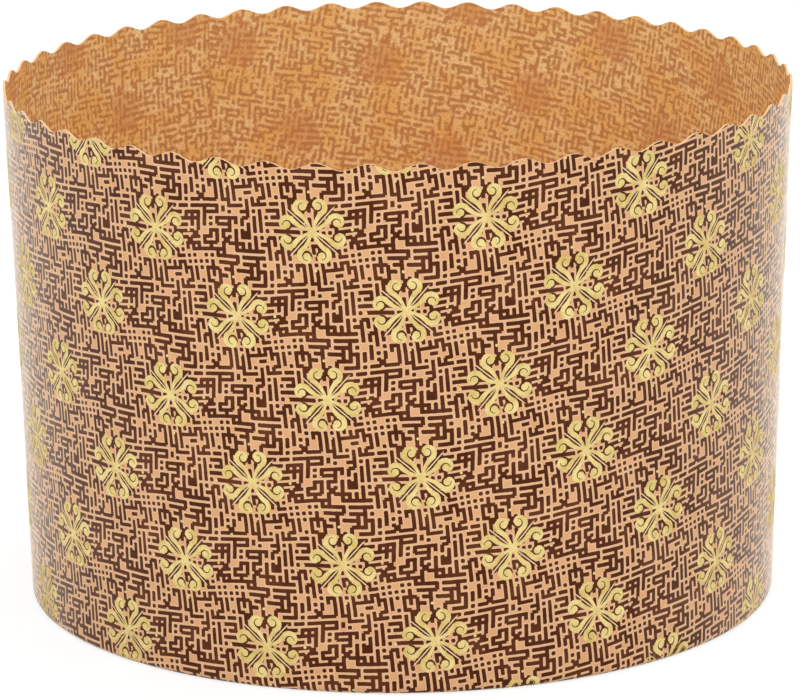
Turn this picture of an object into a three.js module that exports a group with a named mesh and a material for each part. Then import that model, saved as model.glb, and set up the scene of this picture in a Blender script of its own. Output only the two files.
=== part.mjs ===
import * as THREE from 'three';

// A free-standing paper baking cup: a tapered band of stiff paper with a scalloped rim, rolled
// and glued in a lap seam, its lower edge turned in and gathered under a round board base.
// Sizes are in millimetres. The origin is the middle of the underside, +Z points up, and
// angles run anticlockwise from +X, seen from above.

// Driving sizes of the band
const baseDiameter = 134;
const rimDiameter = 140;
const rimHeight = 92.5;
const paperThickness = 0.4;

// Scallops of the rim, half above and half below the rim height
const scallopCount = 50;
const scallopDepth = 1.2;
const firstScallopDegrees = -0.48;

// Lap seam: the outer end of the paper runs over the inner one
const seamDegrees = 120.5;
const seamLap = 12;
const seamRise = 4;
const cutEdgeRun = 0.1;

// Lower edge, turned in and gathered in small radial pleats
const foldInnerRadius = 0.8;
const flangeWidth = 10;
const pleatCount = 50;
const pleatWidth = 2.1;
const pleatHeight = 0.5;

// Base board, glued onto the turned-in edge
const boardThickness = 0.6;
const ventDiameter = 4;
const ventCount = 6;
const ventRingRadius = 30;

// Fineness of the facets
const facetsPerScallop = 8;
const outerFoldFacets = 3;
const innerFoldFacets = 2;
const boardFacets = 120;
const ventFacets = 24;
const sameAngle = 1e-4;

const fullTurn = 2 * Math.PI;
const baseRadius = baseDiameter / 2;
const rimRadius = rimDiameter / 2;
const wallTilt = Math.atan2(rimRadius - baseRadius, rimHeight);
const foldOuterRadius = paperThickness + foldInnerRadius;
const foldCentreRadius =
  baseRadius + foldOuterRadius * (Math.tan(wallTilt) - 1 / Math.cos(wallTilt));
const flangeEdgeRadius = baseRadius - flangeWidth;
const boardUnderside = paperThickness + Math.max(pleatHeight, paperThickness);

const seamAngle = THREE.MathUtils.degToRad(seamDegrees);
const lapEndAngle = seamAngle - seamLap / rimRadius;
const riseStartAngle = seamAngle + seamRise / rimRadius;
const cutEdgeAngle = cutEdgeRun / rimRadius;
const scallopPitch = fullTurn / scallopCount;
const firstScallopAngle = THREE.MathUtils.degToRad(firstScallopDegrees);
const pleatPitch = fullTurn / pleatCount;
const firstPleatAngle = firstScallopAngle + pleatPitch / 2;
const halfPleatAngle = pleatWidth / 2 / baseRadius;

// How far the lap pushes the outer face out, and the inner face next to its cut edge
const outerLapKnots = [
  [lapEndAngle - cutEdgeAngle, 0],
  [lapEndAngle, paperThickness],
  [seamAngle, paperThickness],
  [riseStartAngle, 0],
];
const innerLapKnots = [
  [seamAngle, 0],
  [seamAngle + cutEdgeAngle, paperThickness],
  [riseStartAngle, 0],
];

// Straight-line value between knots of [angle, value], and zero outside them
function valueAt(knots, angle) {
  for (let i = 1; i < knots.length; i += 1) {
    const [from, low] = knots[i - 1];
    const [to, high] = knots[i];
    if (angle >= from && angle <= to) {
      return low + ((high - low) * (angle - from)) / (to - from);
    }
  }
  return 0;
}

function coneRadius(height) {
  return baseRadius + height * Math.tan(wallTilt);
}

function rimHeightAt(angle) {
  return rimHeight + (scallopDepth / 2) * Math.cos((angle - firstScallopAngle) / scallopPitch * fullTurn);
}

// A pleat is left out where it would run into the doubled paper of the lap
function pleatAngles() {
  const angles = [];
  for (let i = 0; i < pleatCount; i += 1) {
    const angle = firstPleatAngle + i * pleatPitch;
    const clearOfLap =
      angle + halfPleatAngle < lapEndAngle - cutEdgeAngle || angle - halfPleatAngle > riseStartAngle;
    if (clearOfLap) {
      angles.push(angle);
    }
  }
  return angles;
}

function pleatLift(angle, pleats) {
  const lifts = pleats.map((pleat) => {
    const turned = Math.abs(angle - pleat) % fullTurn;
    const away = Math.min(turned, fullTurn - turned);
    return pleatHeight * Math.max(0, 1 - away / halfPleatAngle);
  });
  return Math.max(0, ...lifts);
}

// Closed section of the folded paper at one angle, as [radius, height] points: under the
// turned-in edge, round the fold, up the outside, over the rim and down the inside
function bandSection(angle, pleats) {
  const outerLap = valueAt(outerLapKnots, angle);
  const innerLap = valueAt(innerLapKnots, angle);
  const lift = pleatLift(angle, pleats);
  const top = rimHeightAt(angle);
  const points = [[flangeEdgeRadius, lift]];
  const sweep = Math.PI / 2 - wallTilt;

  for (let i = 0; i <= outerFoldFacets; i += 1) {
    const turn = -Math.PI / 2 + (sweep * i) / outerFoldFacets;
    points.push([
      foldCentreRadius + (foldOuterRadius + outerLap) * Math.cos(turn),
      foldOuterRadius + foldOuterRadius * Math.sin(turn),
    ]);
  }
  points.push([coneRadius(top) + outerLap, top]);
  points.push([coneRadius(top) - paperThickness + innerLap, top]);
  for (let i = innerFoldFacets; i >= 0; i -= 1) {
    const turn = -Math.PI / 2 + (sweep * i) / innerFoldFacets;
    points.push([
      foldCentreRadius + (foldInnerRadius + innerLap) * Math.cos(turn),
      foldOuterRadius + (foldInnerRadius - outerLap) * Math.sin(turn),
    ]);
  }
  points.push([flangeEdgeRadius, paperThickness + outerLap + lift]);
  return points;
}

// Every angle at which the band needs a section, in order and with no two alike
function sectionAngles(pleats) {
  const angles = [];
  const steps = scallopCount * facetsPerScallop;
  for (let i = 0; i < steps; i += 1) {
    angles.push(firstScallopAngle + (fullTurn * i) / steps);
  }
  for (const pleat of pleats) {
    angles.push(pleat - halfPleatAngle, pleat, pleat + halfPleatAngle);
  }
  for (const [angle] of [...outerLapKnots, ...innerLapKnots]) {
    angles.push(angle);
  }
  const turned = angles.map((angle) => THREE.MathUtils.euclideanModulo(angle, fullTurn));
  turned.sort((a, b) => a - b);
  return turned.filter((angle, i) => i === 0 || angle - turned[i - 1] > sameAngle);
}

// Joins neighbouring sections, the last one with the first, into one closed ring
function ringGeometry(angles, sections) {
  const count = sections[0].length;
  const positions = [];
  const indices = [];
  sections.forEach((section, i) => {
    for (const [radius, height] of section) {
      positions.push(radius * Math.cos(angles[i]), radius * Math.sin(angles[i]), height);
    }
    const here = i * count;
    const next = ((i + 1) % sections.length) * count;
    for (let j = 0; j < count; j += 1) {
      const k = (j + 1) % count;
      indices.push(here + j, next + j, next + k);
      indices.push(here + j, next + k, here + k);
    }
  });
  const geometry = new THREE.BufferGeometry();
  geometry.setAttribute('position', new THREE.Float32BufferAttribute(positions, 3));
  geometry.setIndex(indices);
  geometry.computeVertexNormals();
  return geometry;
}

function makeSideWall() {
  const pleats = pleatAngles();
  const angles = sectionAngles(pleats);
  const sections = angles.map((angle) => bandSection(angle, pleats));
  const paper = new THREE.MeshStandardMaterial({ color: 0xc9996b, roughness: 0.55, metalness: 0 });
  const wall = new THREE.Mesh(ringGeometry(angles, sections), paper);
  wall.name = 'side_wall';
  return wall;
}

function circlePoints(x, y, radius, count) {
  const points = [];
  for (let i = 0; i < count; i += 1) {
    const angle = (fullTurn * i) / count;
    points.push(new THREE.Vector2(x + radius * Math.cos(angle), y + radius * Math.sin(angle)));
  }
  return points;
}

function makeBaseBoard() {
  const outline = new THREE.Shape(circlePoints(0, 0, foldCentreRadius, boardFacets));
  outline.holes.push(new THREE.Path(circlePoints(0, 0, ventDiameter / 2, ventFacets)));
  for (let i = 0; i < ventCount; i += 1) {
    const angle = (fullTurn * i) / ventCount;
    const x = ventRingRadius * Math.cos(angle);
    const y = ventRingRadius * Math.sin(angle);
    outline.holes.push(new THREE.Path(circlePoints(x, y, ventDiameter / 2, ventFacets)));
  }
  const disc = new THREE.ExtrudeGeometry(outline, { depth: boardThickness, bevelEnabled: false });
  const board = new THREE.MeshStandardMaterial({ color: 0xd0a271, roughness: 0.85, metalness: 0 });
  const base = new THREE.Mesh(disc, board);
  base.name = 'base_board';
  base.position.z = boardUnderside;
  return base;
}

const bakingCup = new THREE.Group();
bakingCup.name = 'paper_baking_cup';
bakingCup.add(makeSideWall());
bakingCup.add(makeBaseBoard());

export default bakingCup;
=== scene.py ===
"""A free-standing printed paper baking cup, dressed and lit as in a plain product photograph."""
import logging
import math
from dataclasses import dataclass
from enum import Enum

import bmesh
import bpy
import numpy as np
from mathutils import Matrix, Vector


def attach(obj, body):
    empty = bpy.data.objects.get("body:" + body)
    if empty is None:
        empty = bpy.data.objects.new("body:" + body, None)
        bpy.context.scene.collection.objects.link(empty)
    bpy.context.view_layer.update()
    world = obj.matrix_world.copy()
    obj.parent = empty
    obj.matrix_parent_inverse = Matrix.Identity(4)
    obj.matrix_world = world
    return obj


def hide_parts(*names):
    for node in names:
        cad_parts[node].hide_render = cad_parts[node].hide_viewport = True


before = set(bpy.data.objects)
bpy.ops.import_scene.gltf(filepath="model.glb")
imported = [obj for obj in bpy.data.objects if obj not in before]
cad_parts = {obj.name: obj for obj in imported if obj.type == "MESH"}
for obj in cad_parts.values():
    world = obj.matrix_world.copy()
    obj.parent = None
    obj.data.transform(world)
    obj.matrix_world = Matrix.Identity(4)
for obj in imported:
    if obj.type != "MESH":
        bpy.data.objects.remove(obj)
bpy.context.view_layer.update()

LOG = logging.getLogger("baking_cup")
MM = 0.001
BODY = "root"
FULL_TURN = 2 * math.pi
PRINT_PLACE = "print_place"
BAKE_MAP = "OFBake"


def paint(red: float, green: float, blue: float) -> tuple[float, float, float, float]:
    """Turns a colour as it is seen, 0 to 255, into the linear colour that a shader takes.

    Args:
        red: red as seen.
        green: green as seen.
        blue: blue as seen.

    Returns:
        The linear colour with full alpha.
    """
    def linear(value: float) -> float:
        """Linear light of one channel."""
        part = value / 255
        return part / 12.92 if part <= 0.04045 else ((part + 0.055) / 1.055) ** 2.4

    return (linear(red), linear(green), linear(blue), 1.0)


class Number:
    """A number that leaves a node, so that a node formula is written as ordinary arithmetic."""

    def __init__(self, wiring: "Wiring", socket: bpy.types.NodeSocket) -> None:
        """Keeps the tree's wiring and the socket that the number comes out of."""
        self.wiring = wiring
        self.socket = socket

    def __add__(self, other: "Number | float") -> "Number":
        """Sum."""
        return self.wiring.math("ADD", self, other)

    def __radd__(self, other: float) -> "Number":
        """Sum with a plain number first."""
        return self.wiring.math("ADD", other, self)

    def __sub__(self, other: "Number | float") -> "Number":
        """Difference."""
        return self.wiring.math("SUBTRACT", self, other)

    def __rsub__(self, other: float) -> "Number":
        """Difference with a plain number first."""
        return self.wiring.math("SUBTRACT", other, self)

    def __mul__(self, other: "Number | float") -> "Number":
        """Product."""
        return self.wiring.math("MULTIPLY", self, other)

    def __rmul__(self, other: float) -> "Number":
        """Product with a plain number first."""
        return self.wiring.math("MULTIPLY", other, self)

    def __truediv__(self, other: "Number | float") -> "Number":
        """Quotient."""
        return self.wiring.math("DIVIDE", self, other)

    def __lt__(self, other: "Number | float") -> "Number":
        """One where this is less, and zero elsewhere."""
        return self.wiring.math("LESS_THAN", self, other)

    def __gt__(self, other: "Number | float") -> "Number":
        """One where this is more, and zero elsewhere."""
        return self.wiring.math("GREATER_THAN", self, other)

    def __abs__(self) -> "Number":
        """Size without sign."""
        return self.wiring.math("ABSOLUTE", self)

    def floor(self) -> "Number":
        """Whole number below."""
        return self.wiring.math("FLOOR", self)

    def part(self) -> "Number":
        """Part after the whole number below."""
        return self.wiring.math("FRACT", self)

    def cos(self) -> "Number":
        """Cosine of an angle in radians."""
        return self.wiring.math("COSINE", self)

    def sin(self) -> "Number":
        """Sine of an angle in radians."""
        return self.wiring.math("SINE", self)

    def power(self, exponent: "Number | float") -> "Number":
        """This raised to a power."""
        return self.wiring.math("POWER", self, exponent)

    def least(self, other: "Number | float") -> "Number":
        """The smaller of two."""
        return self.wiring.math("MINIMUM", self, other)

    def most(self, other: "Number | float") -> "Number":
        """The larger of two."""
        return self.wiring.math("MAXIMUM", self, other)

    def clipped(self) -> "Number":
        """This kept between zero and one."""
        return self.most(0.0).least(1.0)

    def clipped_sine(self) -> "Number":
        """Sine of an angle, and zero below an angle of zero."""
        return self.most(0.0).sin()


class Wiring:
    """Adds nodes to one tree and joins them."""

    def __init__(self, tree: bpy.types.NodeTree) -> None:
        """Keeps the tree that nodes go into."""
        self.tree = tree

    def node(self, kind: str, **settings: object) -> bpy.types.Node:
        """Adds one node.

        Args:
            kind: the node's type name.
            settings: properties to set on it.

        Returns:
            The new node.
        """
        made = self.tree.nodes.new(kind)
        for name, value in settings.items():
            setattr(made, name, value)
        return made

    def feed(self, socket: bpy.types.NodeSocket, value: object) -> None:
        """Joins a number or socket to an input, or sets the input to a plain value.

        Args:
            socket: the input.
            value: a Number, a socket, or a plain value.
        """
        if isinstance(value, Number):
            self.tree.links.new(value.socket, socket)
        elif isinstance(value, bpy.types.NodeSocket):
            self.tree.links.new(value, socket)
        else:
            socket.default_value = value

    def math(self, operation: str, *values: "Number | float") -> Number:
        """Adds one Math node.

        Args:
            operation: the node's operation.
            values: its inputs in order.

        Returns:
            The result.
        """
        made = self.node("ShaderNodeMath", operation=operation)
        for socket, value in zip(made.inputs, values):
            self.feed(socket, value)
        return Number(self, made.outputs[0])

    def blend(self, share: "Number | float", low: "Number | float", high: "Number | float") -> Number:
        """Moves from one number to another.

        Args:
            share: zero for the first, one for the second.
            low: the first number.
            high: the second number.

        Returns:
            The number between them.
        """
        made = self.node("ShaderNodeMix", data_type="FLOAT")
        self.feed(made.inputs[0], share)
        self.feed(made.inputs[2], low)
        self.feed(made.inputs[3], high)
        return Number(self, made.outputs[0])

    def ramp(self, value: Number, start: "Number | float", end: "Number | float") -> Number:
        """Rises smoothly from zero at start to one at end.

        Args:
            value: the number to read.
            start: where the rise starts; it may lie above the end, for a fall.
            end: where the rise ends.

        Returns:
            A number from zero to one.
        """
        made = self.node("ShaderNodeMapRange", interpolation_type="SMOOTHSTEP")
        self.feed(made.inputs["Value"], value)
        self.feed(made.inputs["From Min"], start)
        self.feed(made.inputs["From Max"], end)
        return Number(self, made.outputs["Result"])

    def parts(self, vector: bpy.types.NodeSocket) -> tuple[Number, Number, Number]:
        """Splits a vector into its three numbers."""
        made = self.node("ShaderNodeSeparateXYZ")
        self.feed(made.inputs[0], vector)
        return tuple(Number(self, socket) for socket in made.outputs)

    def vector(
        self, x: "Number | float", y: "Number | float", z: "Number | float" = 0.0
    ) -> bpy.types.NodeSocket:
        """Joins three numbers into a vector."""
        made = self.node("ShaderNodeCombineXYZ")
        for socket, value in zip(made.inputs, (x, y, z)):
            self.feed(socket, value)
        return made.outputs[0]

    def noise(self, place: bpy.types.NodeSocket, scale: float, detail: float = 0.0) -> bpy.types.Node:
        """Adds smooth noise.

        Args:
            place: where it is read.
            scale: lumps for each unit of the place.
            detail: finer layers on top.

        Returns:
            The noise node.
        """
        made = self.node("ShaderNodeTexNoise")
        self.feed(made.inputs["Vector"], place)
        made.inputs["Scale"].default_value = scale
        made.inputs["Detail"].default_value = detail
        return made

    def dice(self, x: "Number | float", y: "Number | float") -> tuple[Number, Number, Number]:
        """Three unrelated random numbers from zero to one for each whole-numbered place."""
        made = self.node("ShaderNodeTexWhiteNoise", noise_dimensions="2D")
        self.feed(made.inputs["Vector"], self.vector(x, y))
        split = self.node("ShaderNodeSeparateColor")
        self.feed(split.inputs[0], made.outputs["Color"])
        return tuple(Number(self, socket) for socket in split.outputs)

    def tint(self, share: "Number | float", low: object, high: object) -> bpy.types.NodeSocket:
        """Moves from one colour to another.

        Args:
            share: zero for the first, one for the second.
            low: the first colour, or its socket.
            high: the second colour, or its socket.

        Returns:
            The socket of the colour between them.
        """
        made = self.node("ShaderNodeMix", data_type="RGBA")
        self.feed(made.inputs[0], share)
        self.feed(made.inputs[6], low)
        self.feed(made.inputs[7], high)
        return made.outputs[2]


@dataclass(frozen=True)
class BandSizes:
    """Sizes of the rolled paper band, in metres and radians, as the solids have them."""

    base_radius: float = 67 * MM
    rim_radius: float = 70 * MM
    rim_height: float = 92.5 * MM
    paper: float = 0.4 * MM
    scallops: int = 50
    scallop_depth: float = 1.2 * MM
    first_scallop: float = math.radians(-0.48)
    seam: float = math.radians(120.5)
    lap: float = 12 * MM
    rise: float = 4 * MM
    cut_run: float = 0.05 * MM
    fold_inner: float = 0.8 * MM
    flange: float = 10 * MM
    pleats: int = 50
    pleat_width: float = 2.1 * MM
    pleat_height: float = 0.5 * MM
    unevenness: float = 0.22 * MM

    @property
    def tilt(self) -> float:
        """Lean of the wall from upright."""
        return math.atan2(self.rim_radius - self.base_radius, self.rim_height)

    @property
    def apex(self) -> float:
        """Distance along the wall from the cone's point to the base line."""
        return self.base_radius / math.sin(self.tilt)

    @property
    def fold_outer(self) -> float:
        """Outside radius of the bottom fold."""
        return self.paper + self.fold_inner

    @property
    def fold_centre(self) -> float:
        """Distance of the fold's centre from the cup's axis."""
        return self.base_radius + self.fold_outer * (math.tan(self.tilt) - 1 / math.cos(self.tilt))

    @property
    def flange_edge(self) -> float:
        """Radius of the turned-in edge's free end."""
        return self.base_radius - self.flange

    @property
    def lap_end(self) -> float:
        """Angle of the outer end of the paper."""
        return self.seam - self.lap / self.rim_radius

    @property
    def fold_end(self) -> float:
        """Place up the outer face where the bottom fold ends and the wall begins."""
        return self.fold_outer * (1 - math.sin(self.tilt)) / math.cos(self.tilt)

    @property
    def fold_start(self) -> float:
        """Place up the outer face where the turned-in edge ends and the fold begins."""
        return self.fold_end - self.fold_outer * (math.pi / 2 - self.tilt)

    @property
    def free_edge(self) -> float:
        """Place up the outer face of the turned-in edge's free end."""
        return self.fold_start - (self.fold_centre - self.flange_edge)

    @property
    def rim_slant(self) -> float:
        """Place up the outer face of the rim, midway between scallops."""
        return self.rim_height / math.cos(self.tilt)

    @property
    def rise_start(self) -> float:
        """Angle at which the paper starts to climb over its inner end."""
        return self.seam + self.rise / self.rim_radius


@dataclass(frozen=True)
class PrintLayout:
    """Where the print lies on the flat sheet, measured from the front of the base line."""

    pitch: float = 29.24 * MM
    turn: float = math.radians(4.27)
    origin_across: float = 1.18 * MM
    origin_up: float = 67.95 * MM
    cells: int = 13
    sway: float = 0.28 * MM
    sway_between: float = 0.10 * MM
    scroll_up: float = 4.28 * MM
    scroll_across: float = 1.27 * MM

    @property
    def cell(self) -> float:
        """Width of one cell of the labyrinth; half an ornament pitch holds a whole number."""
        return self.pitch / 2 / self.cells


class LabyrinthPrint:
    """The printed labyrinth: strokes between the posts of a swaying grid, the same at each ornament."""

    NAME = "labyrinth_print"
    BLOCK = 3
    LIKELY = 0.62
    UNLIKELY = 0.20
    FILLED = 0.03
    BARE_POSTS = 0.20
    FAR = 9.0
    FILLED_DEPTH = 0.15
    SEED = 57.0

    def __init__(self, layout: PrintLayout) -> None:
        """Keeps the print's layout."""
        self.layout = layout

    def tree(self) -> bpy.types.NodeTree:
        """Builds the shared node group once.

        Returns:
            A group that gives the distance to the nearest stroke, in cells, and a place's own
            coordinates in the nearest ornament, folded into one eighth of it, in metres.
        """
        found = bpy.data.node_groups.get(self.NAME)
        if found:
            return found
        group = bpy.data.node_groups.new(self.NAME, "ShaderNodeTree")
        for name in ("Stroke distance", "Along ornament", "Across ornament"):
            group.interface.new_socket(name, in_out="OUTPUT", socket_type="NodeSocketFloat")
        wiring = Wiring(group)
        place = wiring.node("ShaderNodeAttribute", attribute_name=PRINT_PLACE).outputs["Vector"]
        x, y, _ = wiring.parts(place)
        across, up = self.turned(x - self.layout.origin_across, y - self.layout.origin_up)
        out = wiring.node("NodeGroupOutput")
        wiring.feed(out.inputs[0], self.stroke_distance(wiring, across, up))
        along, aside = self.in_ornament(wiring, across, up)
        wiring.feed(out.inputs[1], along)
        wiring.feed(out.inputs[2], aside)
        return group

    def turned(self, x: Number, y: Number) -> tuple[Number, Number]:
        """Turns a place on the sheet into the print's own directions."""
        cos, sin = math.cos(self.layout.turn), math.sin(self.layout.turn)
        return x * cos + y * sin, y * cos - x * sin

    def stroke_distance(self, wiring: Wiring, across: Number, up: Number) -> Number:
        """Distance from a place to the middle line of the nearest stroke.

        Args:
            wiring: the tree's wiring.
            across: the place along the print's rows.
            up: the place along its columns.

        Returns:
            The distance in cells.
        """
        layout = self.layout
        wave = FULL_TURN / layout.pitch
        rising, falling = (across + up) * wave, (across - up) * wave
        sway_x = (rising + 0.6).sin() * layout.sway + (up * (2 * wave) + 2.0).sin() * layout.sway_between
        sway_y = (falling + 1.1).sin() * layout.sway + (across * (2 * wave) + 0.4).sin() * layout.sway_between
        across = (across + sway_x) / layout.cell
        up = (up + sway_y) / layout.cell
        column, row = across.floor(), up.floor()
        into_x, into_y = across.part(), up.part()

        right, upward, filled, bare = self.links(wiring, column, row)
        above, _, _, bare_above = self.links(wiring, column, row + 1)
        _, beside, _, bare_beside = self.links(wiring, column + 1, row)
        _, _, _, bare_far = self.links(wiring, column + 1, row + 1)
        distance = self.where(wiring, right, into_y)
        distance = distance.least(self.where(wiring, above, 1 - into_y))
        distance = distance.least(self.where(wiring, upward, into_x))
        distance = distance.least(self.where(wiring, beside, 1 - into_x))
        distance = distance.least(wiring.blend(filled, self.FAR, self.FILLED_DEPTH))
        corners = (
            (into_x, into_y, bare), (1 - into_x, into_y, bare_beside),
            (into_x, 1 - into_y, bare_above), (1 - into_x, 1 - into_y, bare_far),
        )
        for from_x, from_y, missing in corners:
            squarish = from_x.most(from_y) * 0.7 + (from_x + from_y) * 0.22
            distance = distance.least(wiring.blend(missing, squarish, self.FAR))
        return distance

    def where(self, wiring: Wiring, present: Number, distance: Number) -> Number:
        """The distance where a link is there, and far away where it isn't."""
        return wiring.blend(present, self.FAR, distance)

    def links(self, wiring: Wiring, column: Number, row: Number) -> tuple[Number, ...]:
        """What a post of the grid has: a stroke to its right, one upwards, a filled cell, no dot.

        Args:
            wiring: the tree's wiring.
            column: the post's column.
            row: the post's row.

        Returns:
            Four numbers, each zero or one.
        """
        cells = self.layout.cells
        steps = (column / cells).floor()
        column = column - steps * cells
        row = row - steps * cells
        row = row - (row / (2 * cells)).floor() * (2 * cells)
        block_x = (column / self.BLOCK).floor()
        block_y = (row / self.BLOCK).floor()
        lying, _, _ = wiring.dice(block_x + 0.37, block_y + (self.SEED + 0.11))
        lying = lying < 0.5
        across, up, fill = wiring.dice(column + 0.5, row + (self.SEED + 0.5))
        right = across < wiring.blend(lying, self.UNLIKELY, self.LIKELY)
        upward = up < wiring.blend(lying, self.LIKELY, self.UNLIKELY)
        return right, upward, fill < self.FILLED, fill > 1 - self.BARE_POSTS

    def in_ornament(self, wiring: Wiring, across: Number, up: Number) -> tuple[Number, Number]:
        """Place within the nearest ornament, folded so that its eight like parts fall together.

        Args:
            wiring: the tree's wiring.
            across: the place along the print's rows.
            up: the place along its columns.

        Returns:
            The longer and the shorter of the distances from the ornament's two middle lines.
        """
        pitch = self.layout.pitch
        folded = []
        for shift in (0.0, 0.5):
            from_x = abs(((across / pitch + (0.5 + shift)).part() - 0.5) * pitch)
            from_y = abs(((up / pitch + (0.5 + shift)).part() - 0.5) * pitch)
            folded.append((from_x.most(from_y), from_x.least(from_y)))
        (first_long, first_short), (second_long, second_short) = folded
        first = first_long * first_long + first_short * first_short
        second = second_long * second_long + second_short * second_short
        nearer = second < first
        along = wiring.blend(nearer, first_long, second_long)
        aside = wiring.blend(nearer, first_short, second_short)
        return along, aside


@dataclass(frozen=True)
class PrintedPaper:
    """Outside of the paper: tan sheet, dark labyrinth print and a light varnish."""

    name: str = "printed_paper"
    paper: tuple = paint(226, 178, 133)
    pale: tuple = paint(242, 206, 165)
    deep: tuple = paint(210, 152, 103)
    ink: tuple = paint(74, 29, 2)
    thin_ink: tuple = paint(98, 50, 26)
    stroke: float = 0.32
    soft: float = 0.05
    bleed: float = 0.10
    bleed_grain: tuple[float, float] = (1600, 2)
    mottle_grain: tuple[float, float] = (180, 3)
    slit_edge: tuple[float, float] = (0.46 * MM, 0.38 * MM)
    slit_start: float = 1.0 * MM
    slit_end: float = 5.3 * MM
    curl_edge: tuple[float, float] = (1.00 * MM, 0.90 * MM)
    halo_reach: float = 0.22
    halo_share: float = 0.55
    roughness: float = 0.40
    specular: float = 0.08
    sheen: float = 0.9
    sheen_roughness: float = 0.34
    sheen_tint: tuple = paint(255, 244, 230)

    def material(self, labyrinth: LabyrinthPrint) -> bpy.types.Material:
        """Builds the finish.

        Args:
            labyrinth: the print that lies on the paper.

        Returns:
            The material.
        """
        made, wiring, shader = new_material(self.name)
        pattern = wiring.node("ShaderNodeGroup", node_tree=labyrinth.tree())
        stroke, along, aside = (Number(wiring, socket) for socket in pattern.outputs)
        place = wiring.node("ShaderNodeAttribute", attribute_name=PRINT_PLACE).outputs["Vector"]
        bleed = Number(wiring, wiring.noise(place, *self.bleed_grain).outputs["Fac"])
        mottle = Number(wiring, wiring.noise(place, *self.mottle_grain).outputs["Fac"])
        edge = stroke - (bleed - 0.5) * self.bleed
        ink = wiring.ramp(edge, self.stroke + self.soft, self.stroke - self.soft)
        ray = (along - aside) * math.sqrt(0.5)
        reach = (along + aside) * math.sqrt(0.5)
        slit = wiring.ramp(ray, *self.slit_edge)
        slit = slit * (reach > self.slit_start) * (reach < self.slit_end)
        slit = slit * wiring.ramp(bleed, 0.30, 0.42)
        layout = labyrinth.layout
        curl = self.distance_to(along, aside, layout.scroll_up, layout.scroll_across)
        slit = slit.most(wiring.ramp(curl, *self.curl_edge))
        ink = ink.most(slit)
        halo = wiring.ramp(edge, self.stroke + self.halo_reach, self.stroke + self.soft)
        paper = wiring.tint(mottle, self.deep, self.paper)
        paper = wiring.tint(halo * self.halo_share, paper, self.pale)
        dark = wiring.tint(wiring.ramp(mottle, 0.35, 0.75), self.ink, self.thin_ink)
        wiring.feed(shader.inputs["Base Color"], wiring.tint(ink, paper, dark))
        shader.inputs["Roughness"].default_value = self.roughness
        shader.inputs["Specular IOR Level"].default_value = self.specular
        shader.inputs["Sheen Weight"].default_value = self.sheen
        shader.inputs["Sheen Roughness"].default_value = self.sheen_roughness
        shader.inputs["Sheen Tint"].default_value = self.sheen_tint
        fibre = Number(wiring, wiring.noise(place, 2600, 2).outputs["Fac"])
        add_bump(wiring, shader, fibre, 0.02 * MM)
        return made

    def distance_to(self, along: Number, aside: Number, along_point: float, aside_point: float) -> Number:
        """Distance of a place in the ornament from a fixed point of it."""
        from_x = along - along_point
        from_y = aside - aside_point
        return (from_x * from_x + from_y * from_y).power(0.5)


@dataclass(frozen=True)
class PaperInside:
    """Inside of the paper: plain and matt, with the print showing through, soft and pale."""

    name: str = "paper_inside"
    paper: tuple = paint(248, 214, 152)
    warm: tuple = paint(242, 192, 112)
    shadow: tuple = paint(190, 124, 66)
    patch: tuple = paint(204, 132, 72)
    stroke: float = 0.25
    soft: float = 0.23
    roughness: float = 0.7

    def material(self, labyrinth: LabyrinthPrint) -> bpy.types.Material:
        """Builds the finish.

        Args:
            labyrinth: the print that shows through.

        Returns:
            The material.
        """
        made, wiring, shader = new_material(self.name)
        pattern = wiring.node("ShaderNodeGroup", node_tree=labyrinth.tree())
        stroke, along, aside = (Number(wiring, socket) for socket in pattern.outputs)
        middle = (along * along + aside * aside).power(0.5)
        place = wiring.node("ShaderNodeAttribute", attribute_name=PRINT_PLACE).outputs["Vector"]
        cloud = Number(wiring, wiring.noise(place, 130, 2).outputs["Fac"])
        grain = Number(wiring, wiring.noise(place, 900, 1).outputs["Fac"])
        edge = stroke + (grain - 0.5) * 0.9 + (cloud - 0.5) * 0.3
        through = wiring.ramp(edge, self.stroke + self.soft, self.stroke - self.soft)
        paper = wiring.tint(wiring.ramp(cloud, 0.35, 0.65), self.paper, self.warm)
        speck = Number(wiring, wiring.noise(place, 2400, 1).outputs["Fac"])
        paper = wiring.tint(wiring.ramp(speck, 0.45, 0.70) * 0.5, paper, self.patch)
        colour = wiring.tint(through * 0.88, paper, self.shadow)
        blot = wiring.ramp(middle + (grain - 0.5) * 7 * MM + (cloud - 0.5) * 6 * MM, 5.4 * MM, 3.4 * MM)
        colour = wiring.tint(blot * 0.5, colour, self.patch)
        wiring.feed(shader.inputs["Base Color"], colour)
        shader.inputs["Roughness"].default_value = self.roughness
        fibre = Number(wiring, wiring.noise(place, 2200, 2).outputs["Fac"])
        add_bump(wiring, shader, fibre, 0.03 * MM)
        return made


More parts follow.
